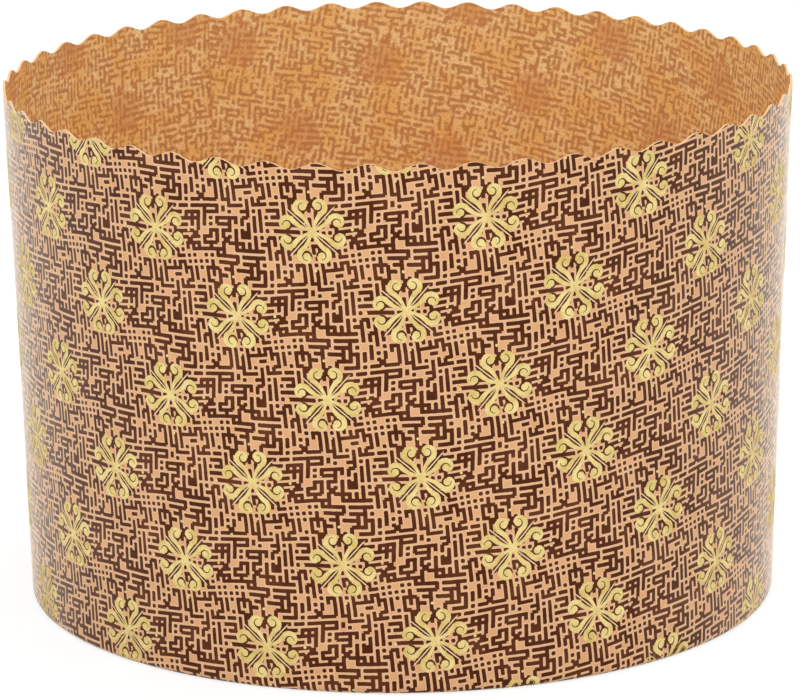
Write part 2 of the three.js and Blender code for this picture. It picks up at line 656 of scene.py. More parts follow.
@dataclass(frozen=True)
class GrainedFinish:
    """A plain finish of two colours, mixed by a fine grain and, where it has them, by clouds."""

    name: str
    low: tuple
    high: tuple
    grain: tuple[float, float]
    depth: float
    roughness: float
    metallic: float = 0.0
    stretch: tuple[float, float, float] = (1.0, 1.0, 1.0)
    clouds: tuple[float, float] | None = None
    cloud_share: float = 0.0
    spread: tuple[float, float] = (0.0, 1.0)

    def material(self) -> bpy.types.Material:
        """Builds the finish.

        Returns:
            The material.
        """
        made, wiring, shader = new_material(self.name)
        place = wiring.node("ShaderNodeTexCoord").outputs["Object"]
        stretched = wiring.node("ShaderNodeMapping")
        stretched.inputs["Scale"].default_value = self.stretch
        wiring.feed(stretched.inputs["Vector"], place)
        grain = Number(wiring, wiring.noise(stretched.outputs[0], *self.grain).outputs["Fac"])
        share = grain
        if self.clouds:
            cloud = Number(wiring, wiring.noise(place, *self.clouds).outputs["Fac"])
            mixed = grain * (1 - self.cloud_share) + cloud * self.cloud_share
            share = wiring.ramp(mixed, *self.spread)
        wiring.feed(shader.inputs["Base Color"], wiring.tint(share, self.low, self.high))
        shader.inputs["Metallic"].default_value = self.metallic
        shader.inputs["Roughness"].default_value = self.roughness
        add_bump(wiring, shader, grain, self.depth)
        return made


@dataclass(frozen=True)
class CutEdge(GrainedFinish):
    """Bare cut edge of the paper, paler than its faces."""

    name: str = "cut_edge"
    low: tuple = paint(240, 204, 160)
    high: tuple = paint(216, 168, 118)
    grain: tuple[float, float] = (3000, 3)
    depth: float = 0.03 * MM
    roughness: float = 0.8


@dataclass(frozen=True)
class GiltInk(GrainedFinish):
    """Raised gilt ink of the ornaments, with a fine metallic grain."""

    name: str = "gilt_ink"
    low: tuple = paint(208, 180, 98)
    high: tuple = paint(238, 216, 146)
    grain: tuple[float, float] = (5200, 2)
    depth: float = 0.01 * MM
    roughness: float = 0.5
    metallic: float = 0.25
    clouds: tuple[float, float] | None = (420, 3)
    cloud_share: float = 0.6
    spread: tuple[float, float] = (0.35, 0.65)


@dataclass(frozen=True)
class PaleGilt(GrainedFinish):
    """Thin rays of the ornaments, in a pale, non-metallic gilt colour."""

    name: str = "pale_gilt"
    low: tuple = paint(228, 190, 138)
    high: tuple = paint(244, 218, 178)
    grain: tuple[float, float] = (900, 2)
    depth: float = 0.01 * MM
    roughness: float = 0.5


@dataclass(frozen=True)
class KraftBoard(GrainedFinish):
    """Plain matt board of the base, with pressed fibres."""

    name: str = "kraft_board"
    low: tuple = paint(228, 186, 134)
    high: tuple = paint(200, 154, 104)
    grain: tuple[float, float] = (700, 5)
    depth: float = 0.06 * MM
    roughness: float = 0.85
    stretch: tuple[float, float, float] = (1.0, 4.0, 1.0)
    clouds: tuple[float, float] | None = (60, 2)
    cloud_share: float = 0.3
    spread: tuple[float, float] = (0.35, 0.62)


def new_material(name: str) -> tuple[bpy.types.Material, Wiring, bpy.types.Node]:
    """Starts a node material.

    Args:
        name: the material's name.

    Returns:
        The material, its wiring and its surface shader.
    """
    made = bpy.data.materials.new(name)
    made.use_nodes = True
    return made, Wiring(made.node_tree), made.node_tree.nodes["Principled BSDF"]


def add_bump(wiring: Wiring, shader: bpy.types.Node, height: Number, depth: float) -> None:
    """Roughens a surface.

    Args:
        wiring: the material's wiring.
        shader: its surface shader.
        height: the relief, from zero to one.
        depth: how deep the relief is, in metres.
    """
    bump = wiring.node("ShaderNodeBump")
    bump.inputs["Strength"].default_value = 0.5
    bump.inputs["Distance"].default_value = depth
    wiring.feed(bump.inputs["Height"], height)
    wiring.feed(shader.inputs["Normal"], bump.outputs[0])


class Finish(Enum):
    """The finishes that the node trees take, by the names of their inputs."""

    OUTSIDE = "Outside finish"
    INSIDE = "Inside finish"
    EDGE = "Edge finish"
    GILT = "Gilt finish"
    RAYS = "Ray finish"


class FormTree:
    """A geometry node tree with named inputs that is run once on a start mesh."""

    def __init__(self, name: str) -> None:
        """Starts the tree with a geometry input and output."""
        self.tree = bpy.data.node_groups.new(name, "GeometryNodeTree")
        self.tree.interface.new_socket("Geometry", in_out="INPUT", socket_type="NodeSocketGeometry")
        self.tree.interface.new_socket("Geometry", in_out="OUTPUT", socket_type="NodeSocketGeometry")
        self.wiring = Wiring(self.tree)
        self.source = self.wiring.node("NodeGroupInput")
        self.values: dict[str, object] = {}

    def size(self, name: str, value: float) -> Number:
        """Adds a named number input.

        Args:
            name: the input's name.
            value: what it is set to.

        Returns:
            The number inside the tree.
        """
        self.tree.interface.new_socket(name, in_out="INPUT", socket_type="NodeSocketFloat")
        self.values[name] = float(value)
        return Number(self.wiring, self.source.outputs[name])

    def thing(self, name: str, kind: str, value: object) -> bpy.types.NodeSocket:
        """Adds a named object or material input.

        Args:
            name: the input's name.
            kind: the input's socket type.
            value: what it is set to.

        Returns:
            The input's socket inside the tree.
        """
        self.tree.interface.new_socket(name, in_out="INPUT", socket_type=kind)
        self.values[name] = value
        return self.source.outputs[name]

    def realized(self, geometry: bpy.types.NodeSocket) -> bpy.types.NodeSocket:
        """Turns every copy in the geometry into real faces."""
        real = self.wiring.node("GeometryNodeRealizeInstances")
        self.wiring.feed(real.inputs[0], geometry)
        return real.outputs[0]

    def dress(
        self, geometry: bpy.types.NodeSocket, finish: Finish, material: bpy.types.Material,
        chosen: Number | None = None,
    ) -> bpy.types.NodeSocket:
        """Gives faces a finish through a named input.

        Args:
            geometry: what is dressed.
            finish: which of the finishes it is.
            material: its material.
            chosen: one for the faces that get it, or nothing for all.

        Returns:
            The dressed geometry.
        """
        made = self.wiring.node("GeometryNodeSetMaterial")
        self.wiring.feed(made.inputs["Geometry"], geometry)
        if chosen is not None:
            self.wiring.feed(made.inputs["Selection"], chosen)
        self.wiring.feed(made.inputs["Material"], self.thing(finish.value, "NodeSocketMaterial", material))
        return made.outputs[0]

    def finish(self, geometry: bpy.types.NodeSocket) -> None:
        """Joins the finished geometry to the tree's output."""
        out = self.wiring.node("NodeGroupOutput")
        self.wiring.feed(out.inputs[0], geometry)

    def run(self, start: bpy.types.Object, name: str) -> bpy.types.Object:
        """Runs the tree and keeps the result as a plain mesh.

        Args:
            start: the object that the tree starts from; it is removed.
            name: the name of the finished piece.

        Returns:
            The finished piece.
        """
        modifier = start.modifiers.new("form", "NODES")
        modifier.node_group = self.tree
        for item in self.tree.interface.items_tree:
            if item.in_out == "INPUT" and item.name in self.values:
                modifier[item.identifier] = self.values[item.name]
        bpy.context.view_layer.update()
        shown = start.evaluated_get(bpy.context.evaluated_depsgraph_get())
        mesh = bpy.data.meshes.new_from_object(shown)
        start.modifiers.remove(modifier)
        bpy.data.objects.remove(start)
        mesh.name = name
        piece = bpy.data.objects.new(name, mesh)
        bpy.context.scene.collection.objects.link(piece)
        return piece


def line_object(
    name: str, points: list[tuple[float, float, float]], closed: bool
) -> bpy.types.Object:
    """Makes a mesh of one line of points.

    Args:
        name: the object's name.
        points: the points in order.
        closed: whether the last point joins the first.

    Returns:
        The object.
    """
    mesh = bpy.data.meshes.new(name)
    edges = [(i, i + 1) for i in range(len(points) - 1)]
    if closed:
        edges.append((len(points) - 1, 0))
    mesh.from_pydata(points, edges, [])
    made = bpy.data.objects.new(name, mesh)
    bpy.context.scene.collection.objects.link(made)
    return made


def named_values(mesh: bpy.types.Mesh, name: str, values: list[float]) -> None:
    """Stores one number for each point of a mesh."""
    layer = mesh.attributes.new(name, "FLOAT", "POINT")
    layer.data.foreach_set("value", np.array(values, np.float32))


@dataclass
class SectionPoint:
    """One point of the folded paper's section."""

    radius: float
    height: float
    slant: float
    inside: float
    gather: float


class BandShape:
    """The rolled band's rules in one node tree, shared by the paper and the gilt print on it."""

    def __init__(self, form: "FormTree", sizes: BandSizes) -> None:
        """Adds the band's sizes to a tree as named inputs.

        Args:
            form: the tree.
            sizes: the band's sizes.
        """
        self.form = form
        self.wiring = form.wiring
        self.lean = sizes.tilt
        self.rim_height = form.size("Rim height", sizes.rim_height)
        self.paper = form.size("Paper thickness", sizes.paper)
        self.lap_end = form.size("Lap end angle", sizes.lap_end)
        self.seam = form.size("Seam angle", sizes.seam)
        self.rise = form.size("Rise start angle", sizes.rise_start)
        self.apex = form.size("Apex distance", sizes.apex)
        self.fold = form.size("Fold radius", sizes.fold_outer)
        self.fold_inner = form.size("Fold inner radius", sizes.fold_inner)
        self.fold_centre = form.size("Fold centre", sizes.fold_centre)
        self.scallops = form.size("Scallops", sizes.scallops)
        self.depth = form.size("Scallop depth", sizes.scallop_depth)
        self.first = form.size("First scallop angle", sizes.first_scallop)
        self.pleats = form.size("Pleats", sizes.pleats)
        self.pleat_height = form.size("Pleat height", sizes.pleat_height)
        self.half_pleat = form.size("Half pleat angle", sizes.pleat_width / 2 / sizes.base_radius)
        self.unevenness = form.size("Unevenness", sizes.unevenness)

    def wave(self, around: Number) -> Number:
        """Rise of the scalloped rim at an angle."""
        return ((around - self.first) * self.scallops).cos() * self.depth * 0.5

    def climb(self, around: Number) -> Number:
        """How far the outer paper lies over the inner end: one on the lap, falling to zero."""
        return ((self.rise - around) / (self.rise - self.seam)).clipped()

    def pleat(self, around: Number) -> Number:
        """Lift of the turned-in edge's free end at its pleats.

        Args:
            around: the angle.

        Returns:
            The lift.
        """
        turn = (around - self.first) * self.pleats / FULL_TURN
        away = (turn.part() - 0.5) / self.pleats * FULL_TURN
        lift = (1 - abs(away) / self.half_pleat).most(0.0)
        clear = around > self.rise + self.half_pleat
        clear = clear * (around < self.lap_end + (FULL_TURN - 1e-4) - self.half_pleat)
        return lift * self.pleat_height * clear

    def shaped(
        self, radius: Number, height: Number, gather: Number, around: Number, push: Number
    ) -> tuple[Number, Number]:
        """Applies the scallops, lap, pleats and slight unevenness to a place of the section.

        Args:
            radius: the place's radius.
            height: its height.
            gather: how near it lies to the turned-in edge's free end, from zero to one.
            around: its angle.
            push: its outward move at the lap.

        Returns:
            The radius and height that the band has there.
        """
        share = height / self.rim_height
        wave = share * self.wave(around)
        radius = radius + wave * math.tan(self.lean) + push
        uneven = (around * 3 + 0.8).sin() + (around * 5 - share * 3 + 2.1).sin() * 0.6
        bow = (share * math.pi).clipped_sine()
        radius = radius + self.unevenness * (uneven * share * 0.5 - bow * 0.6)
        return radius, height + wave + self.pleat(around) * gather


@dataclass
class SideWall:
    """The rolled band: wall, scalloped rim, lap seam, bottom fold and gathered edge."""

    sizes: BandSizes
    labyrinth: LabyrinthPrint
    columns: int = 1200
    wall_rows: int = 12
    flange_rows: int = 5
    fold_rows: int = 7

    def section(self) -> list[SectionPoint]:
        """Lays out the section from under the turned-in edge, up outside and down inside.

        Returns:
            The section's points in order.
        """
        sizes = self.sizes
        outer = self.layer(sizes.fold_outer, 0.0)
        inner = self.layer(sizes.fold_inner, sizes.paper)
        return outer + inner[::-1]

    def layer(self, fold_radius: float, depth: float) -> list[SectionPoint]:
        """One face of the paper, from the free edge of the turned-in part to the rim.

        Args:
            fold_radius: radius of this face's bottom fold.
            depth: how far the face lies behind the outer one.

        Returns:
            The points of the face.
        """
        sizes = self.sizes
        inside = 1.0 if depth else 0.0
        low = sizes.fold_outer - fold_radius
        points = []
        sweep = math.pi / 2 - sizes.tilt
        run = sizes.fold_centre - sizes.flange_edge
        for i in range(self.flange_rows):
            share = 1 - i / self.flange_rows
            slant = sizes.fold_start - run * share
            points.append(SectionPoint(sizes.fold_centre - run * share, low, slant, inside, share))
        for i in range(self.fold_rows + 1):
            turn = -math.pi / 2 + sweep * i / self.fold_rows
            slant = sizes.fold_start + (sizes.fold_end - sizes.fold_start) * i / self.fold_rows
            points.append(SectionPoint(
                sizes.fold_centre + fold_radius * math.cos(turn),
                sizes.fold_outer + fold_radius * math.sin(turn), slant, inside, 0.0))
        start = points[-1]
        end_radius = sizes.rim_radius - depth
        for i in range(1, self.wall_rows + 1):
            share = i / self.wall_rows
            height = start.height + (sizes.rim_height - start.height) * share
            radius = start.radius + (end_radius - start.radius) * share
            points.append(SectionPoint(radius, height, height / math.cos(sizes.tilt), inside, 0.0))
        return points

    def build(self) -> bpy.types.Object:
        """Builds the band.

        Returns:
            The finished piece.
        """
        section = self.section()
        start = line_object("section", [(p.radius, 0.0, p.height) for p in section], True)
        named_values(start.data, "slant", [p.slant for p in section])
        named_values(start.data, "inside", [p.inside for p in section])
        named_values(start.data, "gather", [p.gather for p in section])
        wall = self.form(len(section)).run(start, "side_wall_paper")
        self.lay_bake_map(wall.data, section)
        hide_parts("side_wall")
        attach(wall, BODY)
        LOG.info("side wall: %d faces", len(wall.data.polygons))
        return wall

    def form(self, count: int) -> "FormTree":
        """Builds the node tree that turns the section into the band.

        Args:
            count: how many points the section has.

        Returns:
            The tree.
        """
        form = FormTree("rolled_band")
        wiring = form.wiring
        shape = BandShape(form, self.sizes)
        columns = form.size("Columns", self.columns)
        rows = form.size("Section points", count)
        grid = wiring.node("GeometryNodeMeshGrid")
        wiring.feed(grid.inputs["Vertices X"], columns + 1)
        wiring.feed(grid.inputs["Vertices Y"], rows + 1)
        index = Number(wiring, wiring.node("GeometryNodeInputIndex").outputs[0])
        column = ((index + 0.5) / (rows + 1)).floor()
        row = index - column * (rows + 1)
        point = row - (row > rows - 0.5) * rows

        around = self.angle(form, shape, column, columns)
        place = self.read_section(form, point)
        inside = place["inside"]
        outer_lap = (shape.climb(around) + (column > columns - 0.5)) * shape.paper
        inner_lap = shape.climb(around) * (around > shape.seam + 1e-5) * shape.paper
        push = wiring.blend(inside, outer_lap, inner_lap)
        radius, height = shape.shaped(place["radius"], place["height"], place["gather"], around, push)
        height = height + (shape.fold - place["height"]).most(0.0) * outer_lap / shape.fold_inner * inside
        moved = wiring.node("GeometryNodeSetPosition")
        wiring.feed(moved.inputs["Geometry"], grid.outputs["Mesh"])
        position = wiring.vector(radius * around.cos(), radius * around.sin(), height)
        wiring.feed(moved.inputs["Position"], position)
        flat = self.print_place(form, shape, place, around)
        printed = self.store(form, moved.outputs[0], PRINT_PLACE, flat)
        stations = self.store(form, printed, "station", wiring.vector(column, row))
        merged = wiring.node("GeometryNodeMergeByDistance")
        wiring.feed(merged.inputs["Geometry"], stations)
        merged.inputs["Distance"].default_value = 0.001 * MM
        form.finish(self.dressed(form, merged.outputs[0], rows))
        return form

    def store(
        self, form: "FormTree", geometry: bpy.types.NodeSocket, name: str, value: bpy.types.NodeSocket
    ) -> bpy.types.NodeSocket:
        """Stores each point's vector on face corners, so that it survives the joining of the ends.

        Args:
            form: the band's tree.
            geometry: the band so far.
            name: the attribute's name.
            value: the vector to store.

        Returns:
            The band with the vectors stored.
        """
        wiring = form.wiring
        at_point = wiring.node("GeometryNodeFieldOnDomain", data_type="FLOAT_VECTOR", domain="POINT")
        wiring.feed(at_point.inputs[0], value)
        made = wiring.node("GeometryNodeStoreNamedAttribute", data_type="FLOAT_VECTOR", domain="CORNER")
        wiring.feed(made.inputs["Geometry"], geometry)
        made.inputs["Name"].default_value = name
        wiring.feed(made.inputs["Value"], at_point.outputs[0])
        return made.outputs[0]

    def angle(self, form: "FormTree", shape: BandShape, column: Number, columns: Number) -> Number:
        """Angle of each column, with columns moved onto the two cut edges of the lap seam.

        Args:
            form: the band's tree.
            shape: the band's rules.
            column: the column's number.
            columns: how many columns there are.

        Returns:
            The angle, from the outer end of the paper once round.
        """
        cut = form.size("Cut edge angle", self.sizes.cut_run / self.sizes.rim_radius)
        step = form.wiring.math("DIVIDE", FULL_TURN, columns)
        around = shape.lap_end + column * step
        past = around - shape.seam
        before = (past > step * -1) * (past < 0.0)
        after = (past > -1e-9) * (past < step)
        around = form.wiring.blend(before, around, shape.seam)
        around = form.wiring.blend(after, around, shape.seam + cut)
        last_but_one = (column > columns - 1.5) * (column < columns - 0.5)
        return form.wiring.blend(last_but_one, around, shape.lap_end + FULL_TURN - cut)

    def read_section(self, form: "FormTree", point: Number) -> dict[str, Number]:
        """Reads the section's point that belongs to each row.

        Args:
            form: the band's tree.
            point: the number of the section point.

        Returns:
            Its radius, height, slant, inside and gather values.
        """
        wiring = form.wiring
        section = form.source.outputs["Geometry"]
        position = wiring.node("GeometryNodeInputPosition").outputs[0]
        sample = wiring.node("GeometryNodeSampleIndex", data_type="FLOAT_VECTOR", domain="POINT")
        wiring.feed(sample.inputs["Geometry"], section)
        wiring.feed(sample.inputs["Value"], position)
        wiring.feed(sample.inputs["Index"], point)
        radius, _, height = wiring.parts(sample.outputs[0])
        place = {"radius": radius, "height": height}
        for name in ("slant", "inside", "gather"):
            value = wiring.node("GeometryNodeInputNamedAttribute", data_type="FLOAT")
            value.inputs["Name"].default_value = name
            read = wiring.node("GeometryNodeSampleIndex", data_type="FLOAT", domain="POINT")
            wiring.feed(read.inputs["Geometry"], section)
            wiring.feed(read.inputs["Value"], value.outputs[0])
            wiring.feed(read.inputs["Index"], point)
            place[name] = Number(wiring, read.outputs[0])
        return place

    def print_place(
        self, form: "FormTree", shape: BandShape, place: dict[str, Number], around: Number
    ) -> bpy.types.NodeSocket:
        """Finds each point's place on the flat sheet, measured from the front of the base line.

        Args:
            form: the band's tree.
            shape: the band's rules.
            place: the section point's values.
            around: the column's angle.

        Returns:
            The place as a vector.
        """
        lean = self.sizes.tilt
        under_lap = place["inside"] * (around < shape.seam + 1e-5)
        front = around - 1.5 * math.pi + under_lap * FULL_TURN
        turn = front * math.sin(lean)
        stretch = place["height"] / shape.rim_height * shape.wave(around) / math.cos(lean)
        reach = shape.apex + place["slant"] + stretch
        return form.wiring.vector(reach * turn.sin(), reach * turn.cos() - shape.apex)

    def dressed(
        self, form: "FormTree", geometry: bpy.types.NodeSocket, rows: Number
    ) -> bpy.types.NodeSocket:
        """Sets shading and the finishes of the outside, the inside and the cut edges.

        Args:
            form: the band's tree.
            geometry: the band so far.
            rows: how many points the section has.

        Returns:
            The finished band.
        """
        wiring = form.wiring
        angle = Number(wiring, wiring.node("GeometryNodeInputMeshEdgeAngle").outputs["Unsigned Angle"])
        smooth = wiring.node("GeometryNodeSetShadeSmooth", domain="EDGE")
        wiring.feed(smooth.inputs["Geometry"], geometry)
        wiring.feed(smooth.inputs["Shade Smooth"], angle < math.radians(40))
        station = wiring.node("GeometryNodeInputNamedAttribute", data_type="FLOAT_VECTOR")
        station.inputs["Name"].default_value = "station"
        middle = wiring.node("GeometryNodeFieldOnDomain", data_type="FLOAT_VECTOR", domain="FACE")
        wiring.feed(middle.inputs[0], station.outputs[0])
        _, row, _ = wiring.parts(middle.outputs[0])
        half = rows * 0.5
        outside = row < half - 1
        rim = (row > half - 1) * (row < half)
        edge = (rim + (row > rows - 1)).least(1.0)
        real = form.realized(smooth.outputs[0])
        result = form.dress(real, Finish.INSIDE, PaperInside().material(self.labyrinth))
        result = form.dress(result, Finish.OUTSIDE, PrintedPaper().material(self.labyrinth), outside)
        return form.dress(result, Finish.EDGE, CutEdge().material(), edge)

    def lay_bake_map(self, mesh: bpy.types.Mesh, section: list[SectionPoint]) -> None:
        """Lays a flat map in which the printed outside takes most of the room.

        Args:
            mesh: the band's mesh, with each corner's column and row stored.
            section: the section's points.
        """
        corners = len(mesh.loops)
        station = np.empty(corners * 3, np.float32)
        mesh.attributes["station"].data.foreach_get("vector", station)
        station = station.reshape(corners, 3)
        starts = np.array([face.loop_start for face in mesh.polygons])
        totals = np.array([face.loop_total for face in mesh.polygons])
        low = np.minimum.reduceat(station[:, :2], starts, axis=0)
        face_column, face_row = (np.repeat(np.round(low[:, i]), totals) for i in (0, 1))

        half = len(section) // 2
        along = np.array([p.slant for p in section] + [section[0].slant])
        along = (along - along.min()) / (along.max() - along.min())
        rise = along[np.clip(np.round(station[:, 1]).astype(int), 0, len(section))]
        strip_columns = self.columns / 4
        strip = np.floor(face_column / strip_columns)
        across = (station[:, 0] - strip * strip_columns) / strip_columns
        uv = np.empty((corners, 2), np.float32)
        gap = 0.004

        uv[:, 0] = (strip % 2 + gap + across * (1 - 2 * gap)) * 0.5
        uv[:, 1] = np.floor(strip / 2) * 0.36 + gap + rise * (0.36 - 2 * gap)
        inside = (face_row >= half) & (face_row < len(section) - 1)
        uv[inside, 0] = ((strip + gap + across * (1 - 2 * gap)) * 0.25)[inside]
        uv[inside, 1] = (0.72 + gap + rise * (0.25 - 2 * gap))[inside]
        edge = (face_row == half - 1) | (face_row == len(section) - 1)
        base = np.where(face_row < half, 0.975, 0.988)
        uv[edge, 0] = (0.002 + 0.996 * station[:, 0] / self.columns)[edge]
        uv[edge, 1] = (base + (station[:, 1] - face_row) * 0.008)[edge]
        layer = mesh.uv_layers.new(name=BAKE_MAP)
        layer.data.foreach_set("uv", uv.ravel())
        mesh.attributes.remove(mesh.attributes["station"])


@dataclass
class GiltOrnaments:
    """The gilt print: an ornament of four pairs of scrolls, repeated over the whole sheet."""

    sizes: BandSizes
    layout: PrintLayout
    thickness: float = 0.035 * MM
    sunk: float = 0.012 * MM
    eye_radius: float = 0.63 * MM
    boss_radius: float = 0.75 * MM
    ray_start: float = 0.5 * MM
    ray_end: float = 5.9 * MM
    ray_half_width: float = 0.10 * MM
    dot_radius: float = 0.27 * MM
    dot_up: float = 6.8 * MM
    lattice_points: int = 35

    def arm(self) -> list[tuple[float, float, float]]:
        """Middle line of the right arm of a pair, from the ornament's middle round its scroll.

        Returns:
            Places across and up with half widths, in metres.
        """
        points = [(0.12, 0.20, 0.15), (0.36, 0.78, 0.24), (0.63, 1.38, 0.28), (0.95, 2.00, 0.33),
                  (1.36, 2.57, 0.38), (1.82, 3.03, 0.43)]
        line = [(x * MM, y * MM, half * MM) for x, y, half in points]
        curl = [(-40, 1.34, 0.46), (-18, 1.30, 0.46), (4, 1.26, 0.45), (26, 1.20, 0.42),
                (48, 1.13, 0.37), (70, 1.07, 0.32), (92, 1.00, 0.27), (116, 0.85, 0.28),
                (142, 0.70, 0.28), (172, 0.50, 0.28)]
        for degrees, radius, half in curl:
            turn = math.radians(degrees)
            x = self.layout.scroll_across + radius * MM * math.cos(turn)
            y = self.layout.scroll_up + radius * MM * math.sin(turn)
            line.append((x, y, half * MM))
        return line

    def build(self) -> bpy.types.Object:
        """Builds the gilt print.

        Returns:
            The finished piece.
        """
        finishes = {Finish.GILT: GiltInk().material(), Finish.RAYS: PaleGilt().material()}
        sheet = self.flat_form(finishes).run(self.lines(), "gilt_sheet")
        self.trim(sheet.data)
        gilt = self.wrapped_form(finishes).run(sheet, "gilt_ornaments")
        self.lay_bake_map(gilt.data)
        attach(gilt, BODY)
        LOG.info("gilt ornaments: %d faces", len(gilt.data.polygons))
        return gilt

    def lines(self) -> bpy.types.Object:
        """Draws the middle lines of one pair of arms and one ray.

        Returns:
            An object with the lines, their half widths and which of them is the ray.
        """
        right = self.arm()
        left = [(-x, y, half) for x, y, half in right]
        slope = math.sqrt(0.5)
        ray = []
        for share, taper in ((0.0, 0.8), (0.3, 1.0), (0.85, 1.0), (1.0, 0.3)):
            reach = self.ray_start + (self.ray_end - self.ray_start) * share
            ray.append((reach * slope, reach * slope, self.ray_half_width * taper))
        mesh = bpy.data.meshes.new("ornament_lines")
        points, edges, is_ray = [], [], []
        for line, flag in ((right, 0.0), (left, 0.0), (ray, 1.0)):
            first = len(points)
            points += line
            edges += [(i, i + 1) for i in range(first, len(points) - 1)]
            is_ray += [flag] * len(line)
        mesh.from_pydata([(x, y, 0.0) for x, y, _ in points], edges, [])
        named_values(mesh, "half_width", [half for _, _, half in points])
        named_values(mesh, "ray", is_ray)
        made = bpy.data.objects.new("ornament_lines", mesh)
        bpy.context.scene.collection.objects.link(made)
        return made

    def flat_form(self, finishes: dict[Finish, bpy.types.Material]) -> "FormTree":
        """Builds the node tree that repeats the ornament over the sheet.

        Args:
            finishes: the materials of the print.

        Returns:
            A tree whose result holds the angle as an arc on the rim's radius along X, the place
            up the sheet along Y, and the height above the paper along Z.
        """
        form = FormTree("gilt_sheet")
        wiring = form.wiring
        shape = BandShape(form, self.sizes)
        top = form.size("Gilt thickness", self.thickness)
        quarter = self.quarter(form, top)
        turns = wiring.node("GeometryNodeMeshLine")
        turns.inputs["Count"].default_value = 4
        turns.inputs["Offset"].default_value = (0, 0, 0)
        index = Number(wiring, wiring.node("GeometryNodeInputIndex").outputs[0])
        whole = self.copies(form, turns.outputs[0], quarter, index * (math.pi / 2))
        boss = self.disc(form, form.size("Boss radius", self.boss_radius), top * 1.3, 16)
        joined = wiring.node("GeometryNodeJoinGeometry")
        for part in (whole, boss):
            wiring.tree.links.new(part, joined.inputs[0])
        places = self.lattice(form, shape)
        spread = self.copies(form, places, joined.outputs[0], form.size("Print turn", self.layout.turn))
        form.finish(self.dressed(form, self.unrolled(form, shape, spread), finishes))
        return form

    def quarter(self, form: "FormTree", top: Number) -> bpy.types.NodeSocket:
        """Sweeps the lines into one pair of arms with their scroll eyes, and one ray.

        Args:
            form: the tree.
            top: height of the gilt.

        Returns:
            The quarter of the ornament.
        """
        wiring = form.wiring
        curve = wiring.node("GeometryNodeMeshToCurve")
        wiring.feed(curve.inputs[0], form.source.outputs["Geometry"])
        upright = wiring.node("GeometryNodeSetCurveNormal", mode="Z_UP")
        wiring.feed(upright.inputs["Curve"], curve.outputs[0])
        half_width = wiring.node("GeometryNodeInputNamedAttribute", data_type="FLOAT")
        half_width.inputs["Name"].default_value = "half_width"
        swept = wiring.node("GeometryNodeCurveToMesh")
        wiring.feed(swept.inputs["Curve"], upright.outputs[0])
        wiring.feed(swept.inputs["Profile Curve"], self.profile(form))
        wiring.feed(swept.inputs["Scale"], half_width.outputs[0])
        swept.inputs["Fill Caps"].default_value = True
        position = wiring.node("GeometryNodeInputPosition").outputs[0]
        x, y, z = wiring.parts(position)
        side = (x > 0.0) * top * 0.12
        level = wiring.node("GeometryNodeSetPosition")
        wiring.feed(level.inputs["Geometry"], swept.outputs[0])
        raised = wiring.blend(z > 0.0, -self.sunk, top + side)
        wiring.feed(level.inputs["Position"], wiring.vector(x, y, raised))
        joined = wiring.node("GeometryNodeJoinGeometry")
        wiring.tree.links.new(level.outputs[0], joined.inputs[0])
        eye = self.disc(form, form.size("Eye radius", self.eye_radius), top * 1.2, 12)
        for hand in (-1.0, 1.0):
            moved = wiring.node("GeometryNodeTransform")
            wiring.feed(moved.inputs["Geometry"], eye)
            across = form.size("Scroll across" if hand > 0 else "Scroll across left",
                               hand * self.layout.scroll_across)
            up = form.size("Scroll up" if hand > 0 else "Scroll up left", self.layout.scroll_up)
            wiring.feed(moved.inputs["Translation"], wiring.vector(across, up))
            wiring.tree.links.new(moved.outputs[0], joined.inputs[0])
        dot = wiring.node("GeometryNodeTransform")
        wiring.feed(dot.inputs["Geometry"], self.disc(form, form.size("Dot radius", self.dot_radius), top, 6))
        wiring.feed(dot.inputs["Translation"], wiring.vector(0.0, form.size("Dot up", self.dot_up)))
        wiring.tree.links.new(dot.outputs[0], joined.inputs[0])
        return joined.outputs[0]

    def profile(self, form: "FormTree") -> bpy.types.NodeSocket:
        """Section of a gilt line: flat below and above, one unit to each side.

        Args:
            form: the tree.

        Returns:
            The closed curve.
        """
        made = form.wiring.node("GeometryNodeCurvePrimitiveQuadrilateral", mode="TRAPEZOID")
        made.inputs["Height"].default_value = 0.5
        made.inputs["Bottom Width"].default_value = 2.0
        made.inputs["Top Width"].default_value = 1.9
        made.inputs["Offset"].default_value = 0.0
        return made.outputs[0]

    def disc(self, form: "FormTree", radius: Number, top: Number, sides: int) -> bpy.types.NodeSocket:
        """Makes a flat round dot of gilt.

        Args:
            form: the tree.
            radius: its radius.
            top: its height above the paper.
            sides: how many sides it has.

        Returns:
            The dot.
        """
        wiring = form.wiring
        made = wiring.node("GeometryNodeMeshCylinder", fill_type="NGON")
        made.inputs["Vertices"].default_value = sides
        wiring.feed(made.inputs["Radius"], radius)
        wiring.feed(made.inputs["Depth"], top + self.sunk)
        moved = wiring.node("GeometryNodeTransform")
        wiring.feed(moved.inputs["Geometry"], made.outputs["Mesh"])
        wiring.feed(moved.inputs["Translation"], wiring.vector(0.0, 0.0, (top - self.sunk) * 0.5))
        return moved.outputs[0]

    def copies(
        self, form: "FormTree", points: bpy.types.NodeSocket, shape: bpy.types.NodeSocket, turn: Number
    ) -> bpy.types.NodeSocket:
        """Puts a turned copy of a shape at each point.

        Args:
            form: the tree.
            points: where the copies go.
            shape: what is copied.
            turn: each copy's turn about Z.

        Returns:
            The copies as one mesh.
        """
        wiring = form.wiring
        made = wiring.node("GeometryNodeInstanceOnPoints")
        wiring.feed(made.inputs["Points"], points)
        wiring.feed(made.inputs["Instance"], shape)
        rotation = wiring.node("FunctionNodeEulerToRotation")
        wiring.feed(rotation.inputs[0], wiring.vector(0.0, 0.0, turn))
        wiring.feed(made.inputs["Rotation"], rotation.outputs[0])
        return form.realized(made.outputs[0])

